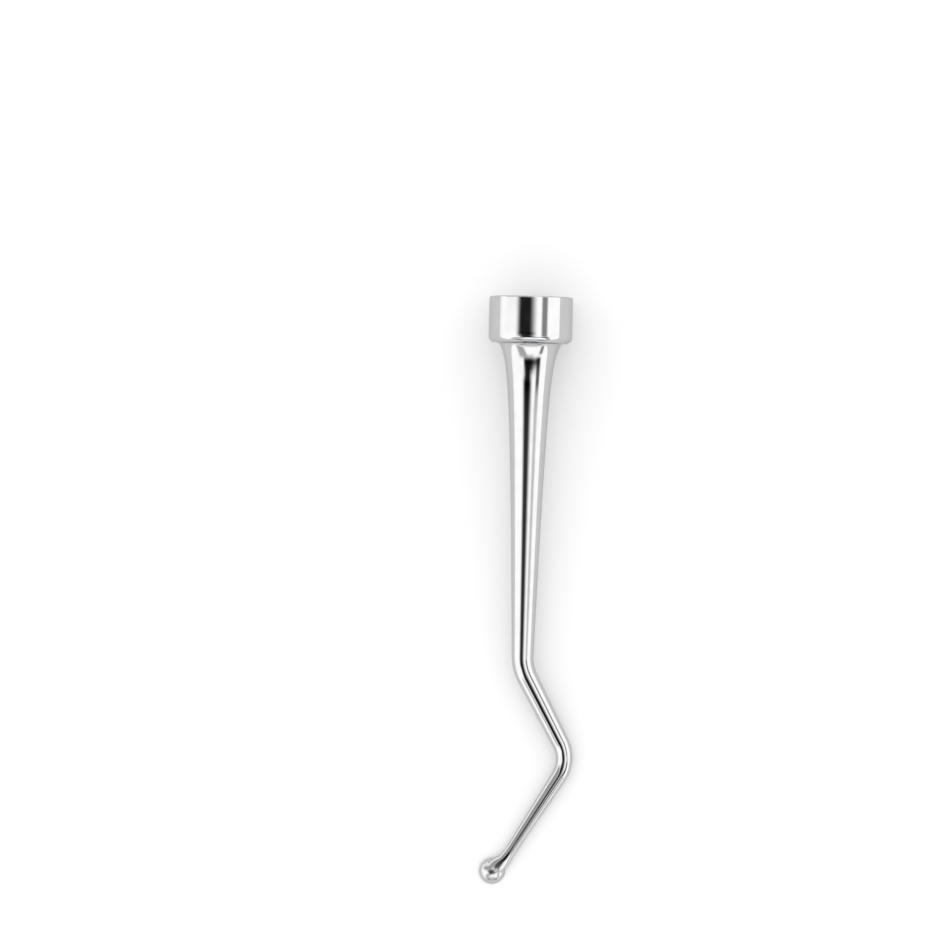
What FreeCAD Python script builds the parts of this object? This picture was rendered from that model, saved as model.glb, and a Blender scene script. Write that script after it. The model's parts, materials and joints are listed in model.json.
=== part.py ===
import FreeCAD, Part
import math
import os

from FreeCAD import Placement, Rotation, Vector

# Spoon excavator, one working end: a round collar, a bell that falls to a long taper,
# a shank bent twice in one plane, and a small hollowed spoon at its tip.
# Millimetres and degrees. It is drawn level, with its length along -Y, its second bend
# out to +X and the back of its spoon up, and is then laid down as it comes to rest.

# Collar, by which the working end is held
COLLAR_DIAMETER = 6.5
COLLAR_LENGTH = 3.1
COLLAR_EDGE_BREAK = 0.08
SHOULDER_ROUND = 0.5

# Bell and taper, one curve from the shoulder's face to the first bend
BELL_ROOT_DIAMETER = 4.9
BELL_ROOT_COVE = 0.3
BELL_FLARE_LENGTH = 1.3
BELL_FLARE_DROP = 0.78
TAPER_END_DIAMETER = 1.7
TAPER_SLOPE = 1.65
TAPER_PULL = 20.2

# Shank, bent twice in one plane; each reach runs from corner to corner of its centre line
FIRST_CORNER_REACH = 28.7
FIRST_BEND_ANGLE = 28.4
FIRST_BEND_RADIUS = 3.6
SECOND_CORNER_REACH = 8.03
SECOND_BEND_ANGLE = 60.1
SECOND_BEND_RADIUS = 2.6
SPOON_REACH = 10.45
NECK_DIAMETER = 0.89

# Spoon: a round cup with a domed back, its face hollowed and looking down
SPOON_DIAMETER = 2.0
SPOON_SHIFT = 0.32
SPOON_DOME = 0.62
SPOON_RIM_DROP = 0.3
RIM_EDGE = 0.02
RIM_LAND = 0.06
HOLLOW_DEPTH = 0.38

# Tongue, the end of the shank: it widens into the spoon and fades out over its back
NECK_LEAD = 1.7
NECK_STRAIGHT = 0.7
FLARE_WIDTH = 1.24
FLARE_HEIGHT = 0.62
FLARE_SETBACK = 0.8
FLARE_SHIFT = 0.15
FADE_WIDTH = 0.44
FADE_HEIGHT = 0.1
FADE_REACH = 0.55
FADE_RISE = 0.1

# Precision of the search for the piece's rest on a flat surface
REST_FACET = 0.01
REST_CLEARANCE = 1e-6

UP = Vector(0, 0, 1)


def at(along, across):
    """A point given along the collar's axis and across it, in the plane of the bends."""
    return Vector(across, -along, 0)


def heading(turned):
    """The direction of a reach of the shank that has turned by this many degrees."""
    return at(math.cos(math.radians(turned)), math.sin(math.radians(turned)))


def tangent_length(radius, angle):
    """How far before its corner a bend begins."""
    return radius * math.tan(math.radians(angle) / 2)


def line(start, end):
    """A straight edge."""
    return Part.LineSegment(start, end).toShape()


def arc_about(centre, start, end):
    """A circular edge about a centre, the short way from start to end."""
    middle = centre + (start - centre + end - centre).normalize() * (start - centre).Length
    return Part.Arc(start, middle, end).toShape()


def collar_and_bell():
    """The turned part, from its flat end to the start of the first bend."""
    collar = COLLAR_DIAMETER / 2
    root = BELL_ROOT_DIAMETER / 2
    face = COLLAR_LENGTH + SHOULDER_ROUND
    bell_end = FIRST_CORNER_REACH - tangent_length(FIRST_BEND_RADIUS, FIRST_BEND_ANGLE)
    taper_end = TAPER_END_DIAMETER / 2
    taper_rise = TAPER_PULL * math.tan(math.radians(TAPER_SLOPE))
    lean = math.degrees(math.atan2(BELL_FLARE_DROP, BELL_FLARE_LENGTH))
    cove_reach = tangent_length(BELL_ROOT_COVE, 90 - lean)
    cove_start = at(face, root + cove_reach)
    cove_end = at(face, root) + heading(-lean) * cove_reach
    bell = Part.BezierCurve()
    bell.setPoles([
        cove_end,
        at(face + BELL_FLARE_LENGTH, root - BELL_FLARE_DROP),
        at(bell_end - TAPER_PULL, taper_end + taper_rise),
        at(bell_end, taper_end),
    ])
    side_end = at(COLLAR_LENGTH, collar)
    round_end = at(face, collar - SHOULDER_ROUND)
    profile = Part.Wire([
        line(at(0, 0), at(0, collar - COLLAR_EDGE_BREAK)),
        line(at(0, collar - COLLAR_EDGE_BREAK), at(COLLAR_EDGE_BREAK, collar)),
        line(at(COLLAR_EDGE_BREAK, collar), side_end),
        arc_about(at(COLLAR_LENGTH, collar - SHOULDER_ROUND), side_end, round_end),
        line(round_end, cove_start),
        arc_about(at(face + BELL_ROOT_COVE, root + cove_reach), cove_start, cove_end),
        bell.toShape(),
        line(at(bell_end, taper_end), at(bell_end, 0)),
        line(at(bell_end, 0), at(0, 0)),
    ])
    return Part.Face(profile).revolve(at(0, 0), heading(0), 360)


def cross_section(centre, along, width, height):
    """An ellipse across the shank, its width in the plane of the bends, its height upright."""
    across = UP.cross(along) * (width / 2)
    upright = UP * (height / 2)
    placed = FreeCAD.Matrix(
        across.x, upright.x, along.x, centre.x,
        across.y, upright.y, along.y, centre.y,
        across.z, upright.z, along.z, centre.z,
        0, 0, 0, 1)
    circle = Part.Wire(Part.Circle(Vector(0, 0, 0), UP, 1).toShape())
    return circle.transformGeometry(placed)


class Bend:
    """One bend of the shank's centre line: an arc that touches both of its reaches."""

    def __init__(self, corner, before, after, radius, angle):
        lead = tangent_length(radius, angle)
        to_middle = radius / math.cos(math.radians(angle) / 2) - radius
        self.start = corner - before * lead
        self.end = corner + after * lead
        self.middle = corner + (after - before).normalize() * to_middle

    def edge(self):
        """The arc itself."""
        return Part.Arc(self.start, self.middle, self.end).toShape()


class ShankLine:
    """The centre line of the shank, from the end of the taper to the spoon."""

    def __init__(self):
        first, second, third = (heading(turned) for turned in (
            0, FIRST_BEND_ANGLE, FIRST_BEND_ANGLE - SECOND_BEND_ANGLE))
        first_corner = at(FIRST_CORNER_REACH, 0)
        second_corner = first_corner + second * SECOND_CORNER_REACH
        self.first_heading = first
        self.last_heading = third
        self.first_bend = Bend(first_corner, first, second, FIRST_BEND_RADIUS, FIRST_BEND_ANGLE)
        self.second_bend = Bend(second_corner, second, third, SECOND_BEND_RADIUS, SECOND_BEND_ANGLE)
        self.side = UP.cross(third)
        self.spoon_centre = second_corner + third * SPOON_REACH - self.side * SPOON_SHIFT
        self.neck = second_corner + third * (SPOON_REACH - SPOON_DIAMETER / 2 - NECK_LEAD)

    def edges(self):
        """The line's edges, end to end, as far as the neck."""
        return [
            self.first_bend.edge(),
            line(self.first_bend.end, self.second_bend.start),
            self.second_bend.edge(),
            line(self.second_bend.end, self.neck),
        ]


def bent_shank(route):
    """The round shank, swept along both bends while it tapers to the neck."""
    sweep = Part.BRepOffsetAPI.MakePipeShell(Part.Wire(route.edges()))
    sweep.setBiNormalMode(UP)
    sweep.add(cross_section(
        route.first_bend.start, route.first_heading, TAPER_END_DIAMETER, TAPER_END_DIAMETER))
    sweep.add(cross_section(route.neck, route.last_heading, NECK_DIAMETER, NECK_DIAMETER))
    sweep.build()
    sweep.makeSolid()
    return sweep.shape()


def tongue(route):
    """The end of the shank, from the round neck to the ridge that fades on the spoon's back."""
    along = route.last_heading
    on_shank = route.spoon_centre + route.side * SPOON_SHIFT
    flare = on_shank - along * FLARE_SETBACK - route.side * FLARE_SHIFT
    flare_rise = FLARE_HEIGHT / 2 - SPOON_RIM_DROP
    fade = route.spoon_centre + along * FADE_REACH + UP * FADE_RISE
    return Part.makeLoft([
        cross_section(route.neck, along, NECK_DIAMETER, NECK_DIAMETER),
        cross_section(route.neck + along * NECK_STRAIGHT, along, NECK_DIAMETER, NECK_DIAMETER),
        cross_section(flare + UP * flare_rise, along, FLARE_WIDTH, FLARE_HEIGHT),
        cross_section(fade, along, FADE_WIDTH, FADE_HEIGHT),
    ], True)


def cap(radius, height, skirt):
    """A spherical cap on a round skirt, about Z, with the cap's rim at height zero."""
    sphere = (radius ** 2 + height ** 2) / (2 * height)
    half_angle = math.asin(radius / sphere) / 2
    side = sphere * math.sin(half_angle)
    middle = Vector(side, 0, height - sphere * (1 - math.cos(half_angle)))
    top = Vector(0, 0, height)
    rim = Vector(radius, 0, 0)
    foot = Vector(radius, 0, -skirt)
    base = Vector(0, 0, -skirt)
    profile = Part.Wire([
        Part.Arc(top, middle, rim).toShape(), line(rim, foot), line(foot, base), line(base, top)])
    return Part.Face(profile).revolve(base, UP, 360)


def spoon(route):
    """The domed cup with the tongue on its back, hollowed from below."""
    rim_centre = route.spoon_centre - UP * SPOON_RIM_DROP
    dome = cap(SPOON_DIAMETER / 2, SPOON_DOME, RIM_EDGE)
    dome.translate(rim_centre)
    hollow = cap(SPOON_DIAMETER / 2 - RIM_LAND, HOLLOW_DEPTH, NECK_DIAMETER)
    hollow.translate(rim_centre)
    return dome.fuse(tongue(route)).cut(hollow)


def drawn_level():
    """The whole piece, one solid, before it is laid down."""
    route = ShankLine()
    whole = collar_and_bell().fuse([bent_shank(route), spoon(route)])
    return whole.Solids[0]


def stands_over(feet, weight):
    """Whether a weight is above the triangle of three feet, seen from above."""
    sides = [(feet[i] - feet[i - 1]).cross(weight - feet[i - 1]).z for i in range(3)]
    return min(sides) >= 0 or max(sides) <= 0


def resting_normal(piece):
    """The upward normal of the surface that the piece comes to rest on.

    Three feet start far above the piece, round its weight. The point that is furthest below
    their plane takes the place of one of them, the one that leaves the weight above the three,
    until no point is below.
    """
    points = piece.tessellate(REST_FACET)[0]
    weight = piece.CenterOfMass
    far = piece.BoundBox.DiagonalLength
    feet = [weight + Rotation(UP, turn).multVec(Vector(far, 0, 0)) + UP * far
            for turn in (0, 120, 240)]
    while True:
        normal = (feet[1] - feet[0]).cross(feet[2] - feet[0]).normalize()
        if normal.z < 0:
            normal = normal * -1
        lowest = min(points, key=lambda point: normal.dot(point - feet[0]))
        if normal.dot(lowest - feet[0]) > -REST_CLEARANCE:
            return normal
        trials = [feet[:i] + [lowest] + feet[i + 1:] for i in range(3)]
        feet = next(trial for trial in trials if stands_over(trial, weight))


def lay_down(piece):
    """Turns the piece onto its three feet and centres it on the surface at height zero."""
    turn = Rotation(resting_normal(piece), UP)
    laid = piece.copy()
    laid.Placement = Placement(Vector(0, 0, 0), turn)
    box = laid.optimalBoundingBox(False, False)
    shift = Vector(box.Center.x, box.Center.y, box.ZMin) * -1
    laid.Placement = Placement(shift, turn)
    return laid


os.makedirs("parts", exist_ok=True)
excavator = lay_down(drawn_level())
place = excavator.Placement
print("flat end at", place.multVec(at(0, 0)))
print("collar axis, out of the flat end", place.Rotation.multVec(heading(0) * -1))
print("normal of the plane of the bends", place.Rotation.multVec(UP))
print("volume", excavator.Volume, "valid", excavator.isValid())
excavator.exportStep("parts/spoon_excavator.step")
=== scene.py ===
"""Looks of a spoon excavator's working end, in polished steel.

The piece is one smooth skin. The collar and its long bell are turned about their axis, the last
turned ring is drawn out along both bends of the shank, and it then spreads into the spoon's domed
back, turns in over the rim and closes at the bottom of the hollow. It lies on a pale floor under
a soft light tent, and the camera looks down on it.

Lengths are in metres and angles in radians, unless a name says otherwise.
"""

import json
import logging
import math
from dataclasses import asdict, dataclass, field, replace
from enum import Enum

import bmesh
import bpy
from mathutils import Matrix, Vector


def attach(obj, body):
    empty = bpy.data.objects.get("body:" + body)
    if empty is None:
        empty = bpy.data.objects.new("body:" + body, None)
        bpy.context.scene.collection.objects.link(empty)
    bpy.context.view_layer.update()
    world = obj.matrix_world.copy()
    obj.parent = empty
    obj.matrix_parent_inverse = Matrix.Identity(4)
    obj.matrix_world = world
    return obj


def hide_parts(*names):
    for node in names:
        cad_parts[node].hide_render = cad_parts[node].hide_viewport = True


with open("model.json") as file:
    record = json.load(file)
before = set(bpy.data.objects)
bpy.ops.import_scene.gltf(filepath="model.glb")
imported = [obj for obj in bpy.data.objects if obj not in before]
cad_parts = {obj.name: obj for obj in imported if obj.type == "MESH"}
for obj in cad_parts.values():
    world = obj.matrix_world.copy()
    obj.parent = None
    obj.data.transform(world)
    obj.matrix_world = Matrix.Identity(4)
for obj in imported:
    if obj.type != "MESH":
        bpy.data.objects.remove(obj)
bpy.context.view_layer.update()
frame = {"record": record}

LOG = logging.getLogger("spoon_excavator")
MM = 0.001

# A point of an outline: its distance along the axis and its radius
Point = tuple[float, float]


def between(low: float, high: float, share: float) -> float:
    """The value that lies this share of the way from low to high."""
    return low + (high - low) * share


def shares(steps: int) -> list[float]:
    """The ends of equal steps from 0 to 1, without the start."""
    return [(step + 1) / steps for step in range(steps)]


@dataclass
class Drawing:
    """The plane in which the piece is drawn, as it lies at rest.

    Attributes:
        flat_end: The name of the mount on the collar's flat end.
        roll: How far the plane of the bends is rolled about the axis.
        origin: The middle of the flat end.
        along: The direction from the flat end towards the spoon.
        across: The direction in the plane of the bends, towards the second one.
        up: The direction square to that plane, out of the back of the spoon.
    """

    flat_end: str = "flat_end"
    roll: float = math.radians(4.249)
    origin: Vector = field(init=False)
    along: Vector = field(init=False)
    across: Vector = field(init=False)
    up: Vector = field(init=False)

    def __post_init__(self) -> None:
        """Reads the flat end's place from the record, and rolls the plane about the axis."""
        mounts = {mount["name"]: mount for mount in frame["record"]["mounts"]}
        mount = mounts[self.flat_end]
        outward = Vector(mount["axis"]).normalized()
        vertical = Vector((0.0, 0.0, 1.0))
        level = (vertical - outward * outward.dot(vertical)).normalized()
        self.origin = Vector(mount["pos_m"])
        self.along = -outward
        self.up = Matrix.Rotation(self.roll, 3, outward) @ level
        self.across = outward.cross(self.up)

    def at(self, along: float, across: float = 0.0, up: float = 0.0) -> Vector:
        """A point of the drawing, in the part's own frame.

        Args:
            along: Distance from the flat end towards the spoon.
            across: Distance from the collar's axis towards the second bend.
            up: Distance above the plane of the bends.

        Returns:
            The point in metres.
        """
        return self.origin + self.along * along + self.across * across + self.up * up

    def heading(self, turned: float) -> Vector:
        """The direction of a reach of the shank that has turned by this angle."""
        return self.along * math.cos(turned) + self.across * math.sin(turned)

    def side(self, heading: Vector) -> Vector:
        """The direction in the plane of the bends that lies across a heading."""
        return self.up.cross(heading)


@dataclass(frozen=True)
class Ring:
    """One ring of the skin, an ellipse round a point of the piece.

    Attributes:
        centre: The middle of the ring.
        wide: Half of the ring's width, as a vector.
        tall: Half of the ring's height, as a vector.
        travel: How far along the straight blank the ring was, before it was bent.
    """

    centre: Vector
    wide: Vector
    tall: Vector
    travel: float

    def placement(self) -> Matrix:
        """The matrix that takes a unit circle about Z to this ring."""
        facing = self.wide.cross(self.tall).normalized() * self.wide.length
        placed = Matrix((self.wide, self.tall, facing)).transposed().to_4x4()
        placed.translation = self.centre
        return placed


class Skin:
    """The smooth skin of the piece, grown ring by ring from a turned form.

    Attributes:
        SIDES: How many faces go round the piece.
        BLANK: The name of the layer that holds each point's place on the straight blank.
        SAME_REACH: How far apart along the axis the points of one ring may lie.
        SAME_POINT: How close two points lie that are merged.
        bm: The mesh as it grows.
        blank: The layer itself.
        last: The last ring.
        edges: The edges of the last ring.
    """

    SIDES = 96
    BLANK = "blank"
    SAME_REACH = 0.002 * MM
    SAME_POINT = 0.0001 * MM

    def __init__(self) -> None:
        """Starts an empty skin, with a layer that remembers the straight blank."""
        self.bm = bmesh.new()
        self.blank = self.bm.verts.layers.float_vector.new(self.BLANK)
        self.last: Ring | None = None
        self.edges: list[bmesh.types.BMEdge] = []

    def turn(self, outline: list[Point], drawing: Drawing) -> None:
        """Turns an outline about the collar's axis.

        Args:
            outline: Points given as distance along the axis and radius.
            drawing: The plane in which the outline is drawn.
        """
        points = [self.bm.verts.new(drawing.at(along, radius)) for along, radius in outline]
        chain = [self.bm.edges.new(pair) for pair in zip(points, points[1:])]
        bmesh.ops.spin(
            self.bm, geom=points + chain, cent=drawing.origin, axis=drawing.along,
            angle=math.tau, steps=self.SIDES, use_merge=True)
        for vert in self.bm.verts:
            out = vert.co - drawing.origin
            vert[self.blank] = (
                out.dot(drawing.across), out.dot(drawing.up), out.dot(drawing.along))
        reach, radius = outline[-1]
        self.last = Ring(
            drawing.at(reach), drawing.across * radius, drawing.up * radius, reach)
        self.edges = self.ring_at(drawing, reach)

    def ring_at(self, drawing: Drawing, reach: float) -> list[bmesh.types.BMEdge]:
        """The edges round the turned form at one distance along its axis."""
        return [
            edge for edge in self.bm.edges
            if all(
                abs((vert.co - drawing.origin).dot(drawing.along) - reach) < self.SAME_REACH
                for vert in edge.verts)
        ]

    def soften(self, drawing: Drawing, reach: float, width: float, segments: int) -> None:
        """Rounds one edge that runs round the turned form.

        Args:
            drawing: The plane in which the form is drawn.
            reach: The edge's distance along the axis.
            width: How far the rounding reaches each way.
            segments: How many faces it has.
        """
        bmesh.ops.bevel(
            self.bm, geom=self.ring_at(drawing, reach), offset=width, segments=segments,
            profile=0.5, affect="EDGES", material=-1)

    def grow(self, ring: Ring) -> None:
        """Draws the last ring out to a new one."""
        grown = bmesh.ops.extrude_edge_only(self.bm, edges=self.edges)["geom"]
        fresh = [part for part in grown if isinstance(part, bmesh.types.BMVert)]
        self.edges = [
            part for part in grown
            if isinstance(part, bmesh.types.BMEdge) and all(v in fresh for v in part.verts)]
        move = ring.placement() @ self.last.placement().inverted()
        bmesh.ops.transform(self.bm, matrix=move, verts=fresh)
        swell = ring.tall.length / self.last.tall.length
        for vert in fresh:
            before = vert[self.blank]
            vert[self.blank] = (before.x * swell, before.y * swell, ring.travel)
        self.last = ring

    def close_flat(self, drawing: Drawing) -> None:
        """Closes the flat end with one face."""
        bmesh.ops.edgeloop_fill(self.bm, edges=self.ring_at(drawing, 0.0))

    def close_pole(self) -> None:
        """Draws the last ring together in one point."""
        rim = list(dict.fromkeys(vert for edge in self.edges for vert in edge.verts))
        bmesh.ops.pointmerge(self.bm, verts=rim, merge_co=self.last.centre)

    def piece(self, name: str) -> bpy.types.Object:
        """Makes the finished object, whose faces point outwards. All but the flat end are smooth.

        Args:
            name: The object's name.

        Returns:
            The object, at the origin, with its place in its mesh.
        """
        bmesh.ops.remove_doubles(self.bm, verts=self.bm.verts, dist=self.SAME_POINT)
        bmesh.ops.recalc_face_normals(self.bm, faces=self.bm.faces)
        for face in self.bm.faces:
            face.smooth = len(face.verts) < self.SIDES
        mesh = bpy.data.meshes.new(name)
        self.bm.to_mesh(mesh)
        self.bm.free()
        made = bpy.data.objects.new(name, mesh)
        bpy.context.scene.collection.objects.link(made)
        return made


@dataclass
class Collar:
    """The round collar by which the working end is held.

    Attributes:
        diameter: The collar's diameter.
        length: From the flat end to where the shoulder's round begins.
        edge_break: The width of the broken edge at the flat end.
        edge_round: How far both sides of the broken edge are softened.
        edge_guard: The width of the faces that keep the softening off the collar's side.
        shoulder_round: The radius of the shoulder.
        edge_segments: How many faces each softened edge has.
        side_steps: How many rings of faces the side has.
        round_steps: How many the shoulder's round has.
        face_steps: How many the shoulder's face has.
    """

    diameter: float = 6.5 * MM
    length: float = 3.1 * MM
    edge_break: float = 0.08 * MM
    edge_round: float = 0.025 * MM
    edge_guard: float = 0.04 * MM
    shoulder_round: float = 0.5 * MM
    edge_segments: int = 3
    side_steps: int = 8
    round_steps: int = 12
    face_steps: int = 4

    @property
    def face(self) -> float:
        """Where the shoulder's face lies along the axis."""
        return self.length + self.shoulder_round

    def outline(self, foot: float) -> list[Point]:
        """The outline from the flat end to the foot of the bell.

        Args:
            foot: Radius at which the bell's cove meets the shoulder's face.

        Returns:
            Points given as distance along the axis and radius.
        """
        radius = self.diameter / 2
        inner = radius - self.shoulder_round
        guard = self.edge_break + self.edge_guard
        points = [(0.0, radius - self.edge_break), (self.edge_break, radius), (guard, radius)]
        points += [
            (between(guard, self.length, share), radius) for share in shares(self.side_steps)]
        points += [
            (self.length + self.shoulder_round * math.sin(share * math.pi / 2),
             inner + self.shoulder_round * math.cos(share * math.pi / 2))
            for share in shares(self.round_steps)]
        points += [(self.face, between(inner, foot, share)) for share in shares(self.face_steps)]
        return points

    def soften(self, skin: Skin, drawing: Drawing) -> None:
        """Takes the sharpness off both sides of the broken edge."""
        for reach in (0.0, self.edge_break):
            skin.soften(drawing, reach, self.edge_round, self.edge_segments)


@dataclass
class Bell:
    """The bell that falls from the shoulder, and its long taper to the first bend.

    Attributes:
        root_diameter: The bell's diameter where it would meet the shoulder without a cove.
        root_cove: The radius of the cove at its root.
        flare_length: How far along the axis the flare pulls the curve.
        flare_drop: How far it falls over that length.
        end_diameter: The diameter of the taper at the first bend.
        slope: The slope of the taper at the first bend.
        pull: How far back from the bend the taper pulls the curve.
        cove_steps: How many rings of faces the cove has.
        steps: How many the bell and the taper have.
    """

    root_diameter: float = 4.9 * MM
    root_cove: float = 0.3 * MM
    flare_length: float = 1.3 * MM
    flare_drop: float = 0.78 * MM
    end_diameter: float = 1.7 * MM
    slope: float = math.radians(1.65)
    pull: float = 20.2 * MM
    cove_steps: int = 8
    steps: int = 56

    @property
    def cove_turn(self) -> float:
        """The angle through which the cove turns, from the shoulder's face to the bell."""
        return math.pi / 2 - math.atan2(self.flare_drop, self.flare_length)

    @property
    def foot(self) -> float:
        """The radius at which the cove meets the shoulder's face."""
        return self.root_diameter / 2 + self.root_cove * math.tan(self.cove_turn / 2)

    def outline(self, face: float, end: float) -> list[Point]:
        """The bell's curve, closer together where it falls fastest.

        Args:
            face: Where the shoulder's face lies along the axis.
            end: Where the first bend begins.

        Returns:
            Points given as distance along the axis and radius.
        """
        root = self.root_diameter / 2
        tip = self.end_diameter / 2
        points = [
            (face + self.root_cove * (1.0 - math.cos(self.cove_turn * share)),
             self.foot - self.root_cove * math.sin(self.cove_turn * share))
            for share in shares(self.cove_steps)]
        poles = [
            Vector(points[-1]),
            Vector((face + self.flare_length, root - self.flare_drop)),
            Vector((end - self.pull, tip + self.pull * math.tan(self.slope))),
            Vector((end, tip)),
        ]
        for share in shares(self.steps):
            rest = 1.0 - share
            point = (poles[0] * rest ** 3 + poles[1] * 3 * rest ** 2 * share
                     + poles[2] * 3 * rest * share ** 2 + poles[3] * share ** 3)
            points.append((point.x, point.y))
        return points


@dataclass
class Shank:
    """The round shank, bent twice in one plane while it tapers to the neck.

    Attributes:
        first_corner: From the flat end to the corner of the first bend.
        first_angle: How far the first bend turns.
        first_radius: The radius of the first bend's centre line.
        second_reach: From the first corner to the second.
        second_angle: How far the second bend turns back.
        second_radius: The radius of the second bend's centre line.
        spoon_reach: From the second corner to the spoon's centre.
        neck_diameter: The shank's diameter at its end.
        bend_step: The largest angle between two rings in a bend.
        reach_step: The largest distance between two rings in a straight reach.
    """

    first_corner: float = 28.7 * MM
    first_angle: float = math.radians(28.4)
    first_radius: float = 3.6 * MM
    second_reach: float = 8.03 * MM
    second_angle: float = math.radians(60.1)
    second_radius: float = 2.6 * MM
    spoon_reach: float = 10.45 * MM
    neck_diameter: float = 0.89 * MM
    bend_step: float = math.radians(2.5)
    reach_step: float = 0.5 * MM

    @staticmethod
    def lead(radius: float, angle: float) -> float:
        """How far before its corner a bend begins."""
        return radius * math.tan(angle / 2)

    @property
    def start(self) -> float:
        """Where the first bend begins, along the collar's axis."""
        return self.first_corner - self.lead(self.first_radius, self.first_angle)

    @property
    def last_turn(self) -> float:
        """The angle of the last reach to the collar's axis."""
        return self.first_angle - self.second_angle

    def second_corner(self, drawing: Drawing) -> Vector:
        """The corner of the second bend."""
        return drawing.at(self.first_corner) + drawing.heading(self.first_angle) * self.second_reach

    def route(
            self, drawing: Drawing,
            neck_before_spoon: float) -> list[tuple[Vector, float, float]]:
        """The centre line from the first bend to the neck.

        Args:
            drawing: The plane of the bends.
            neck_before_spoon: How far the neck lies before the spoon's centre.

        Returns:
            Points, each with the angle turned so far and the distance travelled.
        """
        first_lead = self.lead(self.first_radius, self.first_angle)
        second_lead = self.lead(self.second_radius, self.second_angle)
        runs = [
            (self.first_radius, self.first_angle),
            (self.second_reach - first_lead - second_lead, 0.0),
            (self.second_radius, -self.second_angle),
            (self.spoon_reach - neck_before_spoon - second_lead, 0.0),
        ]
        place = drawing.at(self.start)
        turned = 0.0
        travel = self.start
        line = []
        for size, angle in runs:
            length = size * abs(angle) if angle else size
            steps = math.ceil(abs(angle) / self.bend_step if angle else size / self.reach_step)
            step = length / steps
            for _ in range(steps):
                turn = angle / steps
                chord = step * (math.sin(turn / 2) / (turn / 2) if angle else 1.0)
                place = place + drawing.heading(turned + turn / 2) * chord
                turned += turn
                travel += step
                line.append((place, turned, travel))
        return line

    def grow(self, skin: Skin, drawing: Drawing, neck_before_spoon: float) -> None:
        """Draws the skin out along both bends, tapering evenly."""
        line = self.route(drawing, neck_before_spoon)
        start = skin.last.travel
        thick = skin.last.tall.length
        end = line[-1][2]
        for place, turned, travel in line:
            share = (travel - start) / (end - start)
            radius = between(thick, self.neck_diameter / 2, share)
            side = drawing.side(drawing.heading(turned))
            skin.grow(Ring(place, side * radius, drawing.up * radius, travel))


@dataclass(frozen=True)
class Slice:
    """A tilted slice through the spoon's back, seen from the side and from above.

    Attributes:
        low_ahead: How far ahead of the spoon's centre the slice's lower end lies.
        low_up: The height of that end above the plane of the bends.
        high_ahead: How far ahead of the spoon's centre the slice's upper end lies.
        high_up: The height of that end.
        half_width: Half of the slice's width.
        offset: How far the slice's middle lies to the shank's side of the spoon's centre.
    """

    low_ahead: float
    low_up: float
    high_ahead: float
    high_up: float
    half_width: float
    offset: float

    def values(self) -> tuple[float, ...]:
        """The six sizes in order."""
        return (self.low_ahead, self.low_up, self.high_ahead, self.high_up,
                self.half_width, self.offset)


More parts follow.
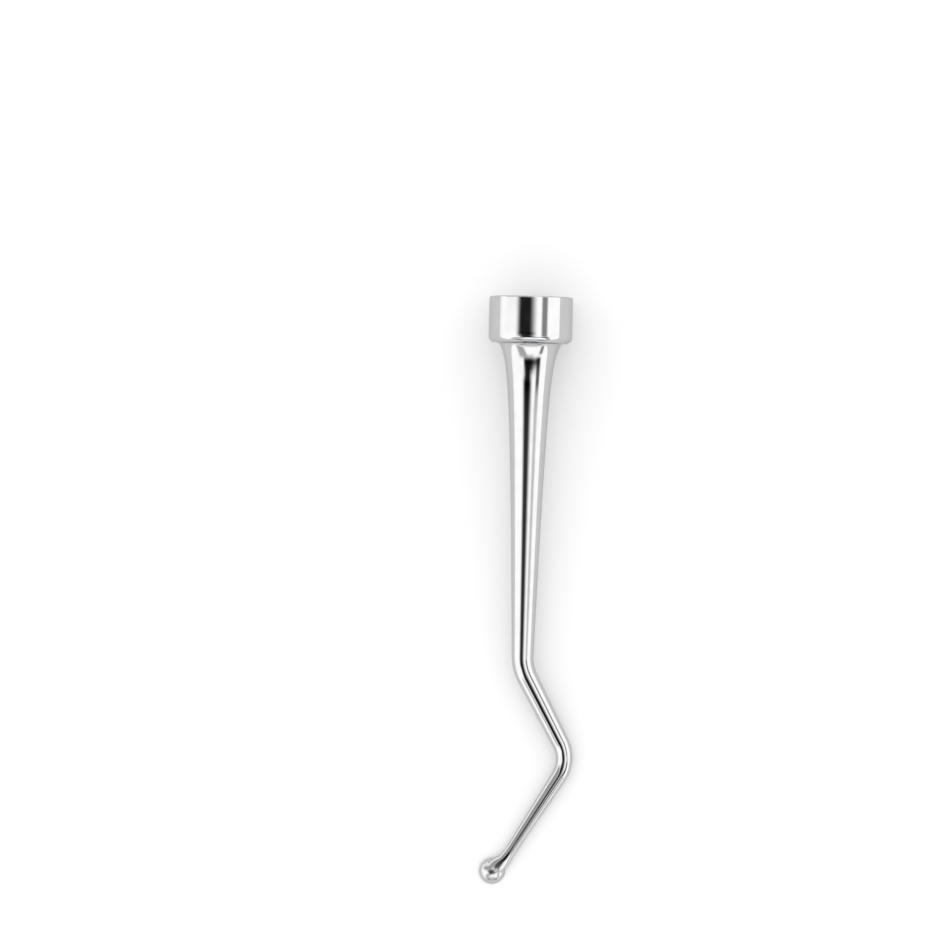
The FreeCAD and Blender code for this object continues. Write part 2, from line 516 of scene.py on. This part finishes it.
@dataclass
class Spoon:
    """The round cup with a domed back, which the shank widens into, and its hollow face.

    Attributes:
        diameter: The spoon's diameter.
        shift: How far its centre lies beside the shank's axis.
        dome: The height of the back above the rim.
        rim_drop: How far the rim's inner edge lies below the plane of the bends.
        rim_edge: How much lower the rim's outer edge lies.
        rim_land: The width of the ground rim.
        hollow_depth: The depth of the hollow.
        neck_lead: From the neck to the spoon's edge.
        neck_straight: How much of that stays straight.
        neck_guide: How far back the slice lies that gives the neck its direction.
        widening: The slices between the straight neck and the crown.
        crown_slice: The last slice of the widening, whose height is found from the crown.
        crown_dip: How far below the crown that slice ends.
        dome_shares: Where the slices past the crown lie, as shares of the way to the rim.
        heel_reach: How far the first of them reach past the rim, on the neck's side.
        heel_swell: How much wider they are.
        heel_offset: How far they lie to the shank's side.
        slice_steps: How many rings lie between two slices.
        land_steps: How many rings of faces the rim has.
        hollow_steps: How many the hollow has.
        pole_share: The size of the hollow's last ring, as a share of its spread.
    """

    diameter: float = 2.0 * MM
    shift: float = 0.32 * MM
    dome: float = 0.62 * MM
    rim_drop: float = 0.3 * MM
    rim_edge: float = 0.02 * MM
    rim_land: float = 0.06 * MM
    hollow_depth: float = 0.38 * MM
    neck_lead: float = 1.7 * MM
    neck_straight: float = 0.7 * MM
    neck_guide: float = 0.35 * MM
    widening: tuple[Slice, ...] = (
        Slice(-1.48 * MM, -0.405 * MM, -1.36 * MM, 0.4 * MM, 0.5 * MM, 0.29 * MM),
        Slice(-1.16 * MM, -0.35 * MM, -0.84 * MM, 0.34 * MM, 0.62 * MM, 0.19 * MM),
    )
    crown_slice: Slice = Slice(-1.05 * MM, -0.33 * MM, -0.4 * MM, 0.0, 0.64 * MM, 0.1 * MM)
    crown_dip: float = 0.012 * MM
    dome_shares: tuple[float, ...] = (0.0, 0.3, 0.55, 0.75, 0.9, 1.0)
    heel_reach: float = 0.02 * MM
    heel_swell: float = 0.03 * MM
    heel_offset: float = 0.04 * MM
    slice_steps: int = 4
    land_steps: int = 3
    hollow_steps: int = 16
    pole_share: float = 0.04

    @property
    def neck_before(self) -> float:
        """How far the neck lies before the spoon's centre."""
        return self.diameter / 2 + self.neck_lead

    @property
    def rim_up(self) -> float:
        """The height of the rim's lower edge above the plane of the bends."""
        return -self.rim_drop - self.rim_edge

    def dome_sphere(self) -> tuple[float, float]:
        """The radius of the back's sphere and the height of its centre."""
        height = self.dome + self.rim_edge
        radius = (self.diameter ** 2 / 4 + height ** 2) / (2 * height)
        return radius, self.rim_up + height - radius

    def slices(self, neck: float) -> list[Slice]:
        """The slices that shape the back, from the straight neck to the rim.

        Args:
            neck: Radius of the neck.

        Returns:
            The slices in order. Those past the crown are cuts through the back's sphere.
        """
        rim = self.diameter / 2
        sphere, middle = self.dome_sphere()
        crown = middle + sphere
        straight = self.neck_before - self.neck_straight
        guide = straight + self.neck_guide
        made = [
            Slice(-guide, -neck, -guide, neck, neck, self.shift),
            Slice(-straight, -neck, -straight, neck, neck, self.shift),
            *self.widening,
            replace(self.crown_slice, high_up=crown - self.crown_dip),
        ]
        rim_angle = math.asin(rim / sphere)
        for share in self.dome_shares:
            angle = rim_angle * share
            ahead = sphere * math.sin(angle)
            up = middle + sphere * math.cos(angle)
            low = -rim - self.heel_reach * (1.0 - share)
            half = math.hypot(ahead - low, up - self.rim_up) / 2
            half += self.heel_swell * (1.0 - share) ** 2
            offset = self.heel_offset * (1.0 - share) ** 2
            made.append(Slice(low, self.rim_up, ahead, up, half, offset))
        return made

    def smoothed(self, slices: list[Slice], steps: int) -> list[Slice]:
        """Slices on a smooth curve through the given ones, from the second one on.

        Args:
            slices: The slices to pass through. The first only sets the curve's direction.
            steps: How many slices to make between each pair.

        Returns:
            The new slices, without the second of the given ones.
        """
        rows = [one.values() for one in slices]
        rows.append(tuple(2 * last - before for last, before in zip(rows[-1], rows[-2])))
        made = []
        for index in range(1, len(rows) - 2):
            for share in shares(steps):
                weights = (
                    (-share + 2 * share ** 2 - share ** 3) / 2,
                    (2 - 5 * share ** 2 + 3 * share ** 3) / 2,
                    (share + 4 * share ** 2 - 3 * share ** 3) / 2,
                    (share ** 3 - share ** 2) / 2)
                made.append(Slice(*(
                    sum(weight * value for weight, value in zip(weights, column))
                    for column in zip(*rows[index - 1:index + 3]))))
        return made

    def grow(self, skin: Skin, drawing: Drawing, shank: Shank) -> None:
        """Spreads the skin from the neck over the spoon's back and into its hollow."""
        ahead = drawing.heading(shank.last_turn)
        side = drawing.side(ahead)
        centre = shank.second_corner(drawing) + ahead * shank.spoon_reach - side * self.shift
        neck = shank.neck_diameter / 2
        travel = skin.last.travel
        straight = centre + side * self.shift - ahead * (self.neck_before - self.neck_straight)
        travel += self.neck_straight
        skin.grow(Ring(straight, side * neck, drawing.up * neck, travel))
        for cut in self.smoothed(self.slices(neck), self.slice_steps):
            low = centre + ahead * cut.low_ahead + drawing.up * cut.low_up
            high = centre + ahead * cut.high_ahead + drawing.up * cut.high_up
            middle = (low + high) / 2 + side * cut.offset
            travel += (middle - skin.last.centre).length
            skin.grow(Ring(middle, side * cut.half_width, (high - low) / 2, travel))
        self.turn_in(skin, drawing, centre, travel)

    def turn_in(self, skin: Skin, drawing: Drawing, centre: Vector, travel: float) -> None:
        """Takes the skin over the rim's land and down the hollow to its pole."""
        ahead = skin.last.tall.normalized()
        side = skin.last.wide.normalized()
        inner = self.diameter / 2 - self.rim_land
        sphere = (inner ** 2 + self.hollow_depth ** 2) / (2 * self.hollow_depth)
        spread = math.asin(inner / sphere)
        rings = [
            (between(self.diameter / 2, inner, share), self.rim_up)
            for share in shares(self.land_steps)]
        for share in shares(self.hollow_steps):
            angle = spread * max(1.0 - share, self.pole_share)
            depth = sphere * (math.cos(angle) - math.cos(spread))
            rings.append((sphere * math.sin(angle), -self.rim_drop + depth))
        for radius, up in rings:
            skin.grow(Ring(centre + drawing.up * up, side * radius, ahead * radius, travel))


class Lay(Enum):
    """How the marks of polishing are stretched on the straight blank, in marks to the metre."""

    ROUND = (900.0, 900.0, 40000.0)
    LENGTHWISE = (30000.0, 30000.0, 700.0)


class Sheet:
    """A node tree that is being filled, with short ways to add and join nodes."""

    def __init__(self, tree: bpy.types.NodeTree) -> None:
        """Takes the tree to fill."""
        self.tree = tree

    def add(self, kind: str, *feeds: object, **settings: object) -> bpy.types.Node:
        """Adds a node.

        Args:
            kind: The node's type, as Blender names it.
            feeds: What goes into its sockets in order: a socket, a value, or None to leave it.
            settings: The node's own settings.

        Returns:
            The new node.
        """
        node = self.tree.nodes.new(kind)
        for name, value in settings.items():
            setattr(node, name, value)
        for socket, feed in zip(node.inputs, feeds):
            if isinstance(feed, bpy.types.NodeSocket):
                self.tree.links.new(feed, socket)
            elif feed is not None:
                socket.default_value = feed
        return node

    def sum(self, operation: str, *feeds: object) -> bpy.types.NodeSocket:
        """A number worked out from others.

        Args:
            operation: The operation, as the Math node names it.
            feeds: Sockets or numbers.

        Returns:
            The socket with the result.
        """
        return self.add("ShaderNodeMath", *feeds, operation=operation).outputs[0]

    def part(self, vector: bpy.types.NodeSocket, direction: Vector) -> bpy.types.NodeSocket:
        """How far a vector reaches in one direction."""
        return self.add(
            "ShaderNodeVectorMath", vector, tuple(direction),
            operation="DOT_PRODUCT").outputs["Value"]

    def window(
            self, value: object, low: object, high: object, low_edge: object,
            high_edge: object) -> bpy.types.NodeSocket:
        """A mask that is 1 between two limits and falls to 0 over soft edges.

        Args:
            value: The value that is tested.
            low: The lower limit.
            high: The upper limit.
            low_edge: Half of the width of the soft edge at the lower limit.
            high_edge: Half of the width of the soft edge at the upper limit.

        Returns:
            The socket with the mask.
        """
        sides = []
        for limit, edge in ((low, low_edge), (high, high_edge)):
            sides.append(self.add(
                "ShaderNodeMapRange", value, self.sum("SUBTRACT", limit, edge),
                self.sum("ADD", limit, edge), 0.0, 1.0,
                interpolation_type="SMOOTHSTEP").outputs[0])
        return self.sum("SUBTRACT", sides[0], sides[1])


def group(name: str, takes: dict[str, tuple[str, object]], gives: dict[str, str]) -> Sheet:
    """Starts a shader node group.

    Args:
        name: The group's name.
        takes: Its inputs, each with its socket type and value.
        gives: Its outputs, each with its socket type.

    Returns:
        The sheet of the new group, with its input and output nodes in place.
    """
    tree = bpy.data.node_groups.new(name, "ShaderNodeTree")
    for socket, (kind, value) in takes.items():
        made = tree.interface.new_socket(socket, in_out="INPUT", socket_type=kind)
        if value is not None:
            made.default_value = value
    for socket, kind in gives.items():
        tree.interface.new_socket(socket, in_out="OUTPUT", socket_type=kind)
    sheet = Sheet(tree)
    sheet.add("NodeGroupInput", name="takes")
    sheet.add("NodeGroupOutput", name="gives")
    return sheet


@dataclass(frozen=True)
class Grain:
    """A cloudy pattern, and the part of its range that counts.

    Attributes:
        scale: How fine it is, in clouds to each unit of the vector that it reads.
        detail: How many finer layers are added to it.
        roughness: How strong each finer layer is.
        low: The value at which its mask begins.
        high: The value at which its mask is full.
    """

    scale: float
    detail: float
    roughness: float
    low: float = 0.0
    high: float = 1.0

    def cloud(self, sheet: Sheet, place: bpy.types.NodeSocket) -> bpy.types.NodeSocket:
        """The pattern itself at a place."""
        return sheet.add(
            "ShaderNodeTexNoise", place, None, self.scale, self.detail, self.roughness).outputs[0]

    def mask(self, sheet: Sheet, place: bpy.types.NodeSocket) -> bpy.types.NodeSocket:
        """The pattern's mask at a place, from 0 to 1."""
        return sheet.add(
            "ShaderNodeMapRange", self.cloud(sheet, place), self.low, self.high, 0.0, 1.0
        ).outputs[0]


@dataclass(frozen=True)
class PolishingMarks:
    """Fine marks of polishing, faint scratches and smears.

    Attributes:
        marks: The fine marks, stretched along the way of polishing.
        scratches: The scratches, stretched in the same way.
        smears: The smears, which aren't stretched.
        scratch_depth: The depth of a scratch, where the marks are 1 deep.
    """

    marks: Grain = Grain(1.0, 3.0, 0.6)
    scratches: Grain = Grain(0.31, 1.0, 0.5, 0.66, 0.72)
    smears: Grain = Grain(900.0, 3.0, 0.55, 0.42, 0.7)
    scratch_depth: float = 0.25

    def build(self) -> bpy.types.NodeTree:
        """Builds the marks as a node group.

        Returns:
            A group that takes the place on the straight blank and how the marks are stretched,
            and gives their height and a mask of the spots that they have dulled.
        """
        sheet = group(
            "polishing_marks",
            {"Blank": ("NodeSocketVector", None),
             "Stretch": ("NodeSocketVector", Lay.LENGTHWISE.value),
             "Scratches": ("NodeSocketFloat", self.scratch_depth)},
            {"Height": "NodeSocketFloat", "Dulled": "NodeSocketFloat"})
        takes = sheet.tree.nodes["takes"].outputs
        gives = sheet.tree.nodes["gives"].inputs
        place = sheet.add(
            "ShaderNodeVectorMath", takes["Blank"], takes["Stretch"],
            operation="MULTIPLY").outputs[0]
        deep = sheet.sum("MULTIPLY", self.scratches.mask(sheet, place), takes["Scratches"])
        height = sheet.sum("SUBTRACT", self.marks.cloud(sheet, place), deep)
        dulled = sheet.sum("MAXIMUM", self.smears.mask(sheet, takes["Blank"]), deep)
        sheet.tree.links.new(height, gives["Height"])
        sheet.tree.links.new(dulled, gives["Dulled"])
        return sheet.tree


@dataclass(frozen=True)
class PolishedSteel:
    """Bright steel: polished round the collar's side, and lengthwise from the shoulder on.

    Attributes:
        name: The material's name.
        colour: The steel's own colour.
        edge_tint: How much of its light it keeps where it is seen at a glancing angle.
        dull_colour: Its colour where the marks and smears have dulled it.
        shine: Its roughness where it is brightest.
        dulled: What the marks and smears add to the roughness.
        mark_height: The height of the marks.
        shoulder: Where the shoulder's face lies, which parts the two ways of polishing.
        worn: What use and sharpening have added to the roughness of the spoon.
        worn_from: How far along the straight blank that wear begins.
        worn_to: Where it is complete.
    """

    name: str = "polished_steel"
    colour: tuple[float, float, float, float] = (0.56, 0.562, 0.568, 1.0)
    edge_tint: tuple[float, float, float, float] = (0.8, 0.8, 0.81, 1.0)
    dull_colour: tuple[float, float, float, float] = (0.535, 0.535, 0.54, 1.0)
    shine: float = 0.035
    dulled: float = 0.05
    mark_height: float = 0.0003 * MM
    shoulder: float = 3.6 * MM
    worn: float = 0.15
    worn_from: float = 45.0 * MM
    worn_to: float = 46.3 * MM

    def material(self) -> bpy.types.Material:
        """Builds the finish.

        Returns:
            The material, whose shader sits beside the groups of marks.
        """
        made = bpy.data.materials.new(self.name)
        made.use_nodes = True
        sheet = Sheet(made.node_tree)
        shader = made.node_tree.nodes["Principled BSDF"]
        shader.inputs["Metallic"].default_value = 1.0
        shader.inputs["Specular Tint"].default_value = self.edge_tint
        blank = sheet.add(
            "ShaderNodeAttribute", attribute_name=Skin.BLANK, attribute_type="GEOMETRY"
        ).outputs["Vector"]
        marks = PolishingMarks().build()
        drawn = {}
        for lay in Lay:
            node = sheet.add("ShaderNodeGroup", node_tree=marks)
            sheet.tree.links.new(blank, node.inputs["Blank"])
            node.inputs["Stretch"].default_value = lay.value
            drawn[lay] = node
        travel = sheet.part(blank, Vector((0.0, 0.0, 1.0)))
        on_shank = sheet.sum("GREATER_THAN", travel, self.shoulder)
        mixed = {}
        for what in ("Height", "Dulled"):
            mix = sheet.add("ShaderNodeMix", on_shank, data_type="FLOAT")
            sheet.tree.links.new(drawn[Lay.ROUND].outputs[what], mix.inputs["A"])
            sheet.tree.links.new(drawn[Lay.LENGTHWISE].outputs[what], mix.inputs["B"])
            mixed[what] = mix.outputs[0]
        polished = sheet.add(
            "ShaderNodeMapRange", mixed["Dulled"], 0.0, 1.0, self.shine, self.shine + self.dulled)
        worn = sheet.add(
            "ShaderNodeMapRange", travel, self.worn_from, self.worn_to, 0.0, self.worn,
            interpolation_type="SMOOTHSTEP")
        rough = sheet.sum("ADD", polished.outputs[0], worn.outputs[0])
        tone = sheet.add("ShaderNodeMix", mixed["Dulled"], data_type="RGBA")
        tone.inputs["A"].default_value = self.colour
        tone.inputs["B"].default_value = self.dull_colour
        bump = sheet.add("ShaderNodeBump")
        bump.inputs["Distance"].default_value = self.mark_height
        sheet.tree.links.new(mixed["Height"], bump.inputs["Height"])
        sheet.tree.links.new(tone.outputs["Result"], shader.inputs["Base Color"])
        sheet.tree.links.new(rough, shader.inputs["Roughness"])
        sheet.tree.links.new(bump.outputs[0], shader.inputs["Normal"])
        return made


@dataclass(frozen=True)
class Slot:
    """A dark slot in the light tent, square to the piece.

    Attributes:
        start: Where the slot begins round the piece's length, in degrees from straight above,
            counted towards the second bend.
        end: Where it ends.
        low: Where it begins along the piece, as a slope from straight above, negative towards
            the spoon.
        high: Where it ends along the piece, positive towards the collar.
        shade: How much of the tent's light is missing in it.
        start_edge: Half of the width of its soft edge at the start, in degrees.
        end_edge: The same at the end.
        tip_edge: Half of the width of its soft ends, as a slope.
        lean: How far it slides round for each unit of slope, in degrees. The start and the end
            are given where the slope is 0.
    """

    start: float
    end: float
    low: float
    high: float
    shade: float
    start_edge: float
    end_edge: float
    tip_edge: float
    lean: float = 0.0


@dataclass
class LightTent:
    """The plain soft light, and a pale tent with dark slots that only the steel mirrors.

    Attributes:
        drawing: The plane to which the slots are square.
        roof_light: What the tent's roof gives, where 1 is white.
        foot_light: What its foot gives.
        roof_edge: Where the roof meets the foot, in degrees from straight above.
        foot_edge: Half of the width of that soft change, in degrees.
        white: The colour of the light.
        plain_light: The plain light on everything that isn't mirrored, where 1 is white.
        band: The slots of the dark band on the collar, the bell and the taper.
        second_line: The slots of the thinner line beside it.
        bell_root: The slots that close both lines near the shoulder.
        shank_end: The slots that the last reach and the spoon mirror.
        low_down: The slots that show when the piece is seen from low down.
    """

    drawing: Drawing
    roof_light: float = 1.75
    foot_light: float = 1.15
    roof_edge: float = 94.0
    foot_edge: float = 14.0
    white: tuple[float, float, float, float] = (1.0, 1.0, 1.0, 1.0)
    plain_light: float = 1.1
    band: tuple[Slot, ...] = (
        Slot(-36.0, 8.0, -0.03, 0.09, 0.985, 9.0, 13.0, 0.03),
        Slot(-31.5, 7.5, -0.2, 0.02, 0.97, 11.0, 14.0, 0.03),
        Slot(-26.0, 6.0, -0.42, -0.12, 0.985, 9.0, 11.0, 0.06),
    )
    second_line: tuple[Slot, ...] = (
        Slot(30.0, 46.0, -0.045, 0.6, 0.78, 4.0, 4.0, 0.02),
        Slot(29.0, 50.0, -0.13, -0.045, 0.45, 7.0, 7.0, 0.03),
        Slot(32.0, 51.0, -0.42, -0.13, 0.9, 6.0, 6.0, 0.04),
    )
    bell_root: tuple[Slot, ...] = (
        Slot(-28.0, 47.0, -0.44, -0.265, 0.93, 6.0, 6.0, 0.08),
        Slot(-10.0, 16.0, -0.42, -0.235, 0.85, 4.0, 9.0, 0.05),
        Slot(-50.0, 16.0, -0.56, -0.42, 0.4, 8.0, 8.0, 0.06),
        Slot(-34.0, 4.0, -1.15, -0.5, 0.62, 9.0, 8.0, 0.12, 36.0),
        Slot(28.0, 44.0, -1.15, -0.52, 0.8, 6.0, 6.0, 0.07, -26.0),
    )
    shank_end: tuple[Slot, ...] = (
        Slot(-74.0, -8.0, 0.1, 0.62, 0.7, 9.0, 7.0, 0.1),
        Slot(-200.0, 200.0, -60.0, -1.25, 0.5, 2.0, 2.0, 0.25),
    )
    low_down: tuple[Slot, ...] = (
        Slot(-52.0, 12.0, 0.8, 60.0, 0.93, 6.0, 6.0, 0.12),
        Slot(56.0, 82.0, 0.8, 60.0, 0.85, 4.0, 4.0, 0.12),
        Slot(-96.0, -78.0, 0.8, 60.0, 0.75, 3.0, 3.0, 0.12),
        Slot(-72.0, -46.0, -60.0, -1.7, 0.8, 5.0, 5.0, 0.2),
        Slot(52.0, 82.0, -60.0, -1.7, 0.8, 5.0, 5.0, 0.2),
    )

    @property
    def slots(self) -> tuple[Slot, ...]:
        """All the slots in order."""
        return self.band + self.second_line + self.bell_root + self.shank_end + self.low_down

    @staticmethod
    def slot_group() -> bpy.types.NodeTree:
        """Builds the node group that works out how much light one slot leaves.

        Returns:
            A group that takes a direction as degrees round the piece and a slope along it.
        """
        numbers = ("Round", "Slope", "Start", "End", "Low", "High", "Shade", "Start edge",
                   "End edge", "Tip edge", "Lean")
        sheet = group(
            "tent_slot",
            {name: ("NodeSocketFloat", 0.0) for name in numbers},
            {"Light": "NodeSocketFloat"})
        takes = sheet.tree.nodes["takes"].outputs
        upright = sheet.sum("SUBTRACT", takes["Round"], sheet.sum(
            "MULTIPLY", takes["Slope"], takes["Lean"]))
        across = sheet.window(
            upright, takes["Start"], takes["End"], takes["Start edge"], takes["End edge"])
        along = sheet.window(
            takes["Slope"], takes["Low"], takes["High"], takes["Tip edge"], takes["Tip edge"])
        dark = sheet.sum("MULTIPLY", sheet.sum("MULTIPLY", across, along), takes["Shade"])
        sheet.tree.links.new(
            sheet.sum("SUBTRACT", 1.0, dark), sheet.tree.nodes["gives"].inputs["Light"])
        return sheet.tree

    def hang(self) -> None:
        """Hangs the tent where polished steel mirrors it, in a plain white light."""
        world = bpy.data.worlds.new("light_tent")
        world.use_nodes = True
        bpy.context.scene.world = world
        sheet = Sheet(world.node_tree)
        sheet.tree.nodes.clear()
        toward = sheet.add("ShaderNodeTexCoord").outputs["Generated"]
        right = sheet.part(toward, self.drawing.across)
        above = sheet.part(toward, self.drawing.up)
        top = sheet.part(toward, -self.drawing.along)
        turned = sheet.sum("DEGREES", sheet.sum("ARCTAN2", right, above))
        reach = sheet.sum(
            "SQRT", sheet.sum(
                "ADD", sheet.sum("MULTIPLY", right, right), sheet.sum("MULTIPLY", above, above)))
        slope = sheet.sum("DIVIDE", top, reach)
        light = sheet.add(
            "ShaderNodeMapRange", sheet.sum("ABSOLUTE", turned), self.roof_edge - self.foot_edge,
            self.roof_edge + self.foot_edge, self.roof_light, self.foot_light,
            interpolation_type="SMOOTHSTEP").outputs[0]
        tree = self.slot_group()
        for slot in self.slots:
            node = sheet.add("ShaderNodeGroup", node_tree=tree)
            sheet.tree.links.new(turned, node.inputs["Round"])
            sheet.tree.links.new(slope, node.inputs["Slope"])
            for name, value in asdict(slot).items():
                node.inputs[name.capitalize().replace("_", " ")].default_value = value
            light = sheet.sum("MULTIPLY", light, node.outputs["Light"])
        tent = sheet.add("ShaderNodeBackground", self.white, light)
        plain = sheet.add("ShaderNodeBackground", self.white, self.plain_light)
        mirrored = sheet.add("ShaderNodeLightPath").outputs["Is Glossy Ray"]
        shown = sheet.add("ShaderNodeMixShader", mirrored, plain.outputs[0], tent.outputs[0])
        sheet.add("ShaderNodeOutputWorld", shown.outputs[0])


@dataclass
class Studio:
    """The pale floor and the camera.

    Attributes:
        drawing: The plane at which the camera looks square.
        floor_width: The width of the floor.
        floor_seen: The floor's colour where the camera sees it.
        floor_mirrored: Its colour in the steel's reflections, and for the light that it returns.
        floor_roughness: Its roughness.
        floor_gloss: The level of its gloss.
        picture_width: How much the picture takes in from side to side.
        middle_along: Where the picture's middle lies along the axis, from the flat end.
        middle_across: How far it lies to the second bend's side of the axis.
        lean: How far the axis leans in the picture.
        lens: The camera's focal length, in millimetres.
        sensor: The width of its sensor, in millimetres.
    """

    drawing: Drawing
    floor_width: float = 3.0
    floor_seen: tuple[float, float, float, float] = (0.97, 0.97, 0.97, 1.0)
    floor_mirrored: tuple[float, float, float, float] = (0.94, 0.94, 0.94, 1.0)
    floor_roughness: float = 1.0
    floor_gloss: float = 0.0
    picture_width: float = 72.74 * MM
    middle_along: float = 13.5 * MM
    middle_across: float = -4.42 * MM
    lean: float = math.radians(1.4)
    lens: float = 200.0
    sensor: float = 36.0

    def floor(self) -> bpy.types.Object:
        """Lays the floor at height zero.

        Returns:
            The floor.
        """
        bm = bmesh.new()
        bmesh.ops.create_grid(bm, x_segments=1, y_segments=1, size=self.floor_width / 2)
        mesh = bpy.data.meshes.new("studio_floor")
        bm.to_mesh(mesh)
        bm.free()
        laid = bpy.data.objects.new("studio_floor", mesh)
        bpy.context.scene.collection.objects.link(laid)
        paint = bpy.data.materials.new("pale_floor")
        paint.use_nodes = True
        sheet = Sheet(paint.node_tree)
        shader = paint.node_tree.nodes["Principled BSDF"]
        seen = sheet.add("ShaderNodeLightPath").outputs["Is Camera Ray"]
        tone = sheet.add("ShaderNodeMix", seen, data_type="RGBA")
        tone.inputs["A"].default_value = self.floor_mirrored
        tone.inputs["B"].default_value = self.floor_seen
        sheet.tree.links.new(tone.outputs["Result"], shader.inputs["Base Color"])
        shader.inputs["Roughness"].default_value = self.floor_roughness
        shader.inputs["Specular IOR Level"].default_value = self.floor_gloss
        mesh.materials.append(paint)
        return laid

    def camera(self) -> bpy.types.Object:
        """Sets the camera where the photograph was taken, above the plane of the bends.

        Returns:
            The camera.
        """
        data = bpy.data.cameras.new("camera")
        data.lens = self.lens
        data.sensor_width = self.sensor
        placed = bpy.data.objects.new("camera", data)
        bpy.context.scene.collection.objects.link(placed)
        bpy.context.scene.camera = placed
        back = self.drawing.up
        turn = Matrix.Rotation(self.lean, 3, back)
        right = turn @ self.drawing.across
        top = turn @ -self.drawing.along
        middle = self.drawing.at(self.middle_along, self.middle_across)
        distance = self.picture_width * self.lens / self.sensor
        pose = Matrix((right, top, back)).transposed().to_4x4()
        pose.translation = middle + back * distance
        placed.matrix_world = pose
        return placed


def main() -> None:
    """Builds the working end, the floor, the light and the camera."""
    logging.basicConfig(level=logging.INFO, format="%(name)s: %(message)s")
    drawing = Drawing()
    collar = Collar()
    bell = Bell()
    shank = Shank()
    spoon = Spoon()
    skin = Skin()
    outline = collar.outline(bell.foot) + bell.outline(collar.face, shank.start)
    skin.turn(outline, drawing)
    shank.grow(skin, drawing, spoon.neck_before)
    spoon.grow(skin, drawing, shank)
    skin.close_pole()
    collar.soften(skin, drawing)
    skin.close_flat(drawing)
    piece = skin.piece("steel_working_end")
    piece.data.materials.append(PolishedSteel().material())
    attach(piece, "root")
    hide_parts("spoon_excavator")
    LOG.info("%s: %d faces", piece.name, len(piece.data.polygons))
    studio = Studio(drawing)
    studio.floor()
    studio.camera()
    LightTent(drawing).hang()
    bpy.context.scene.view_settings.view_transform = "Standard"


if __name__ == "__main__":
    main()
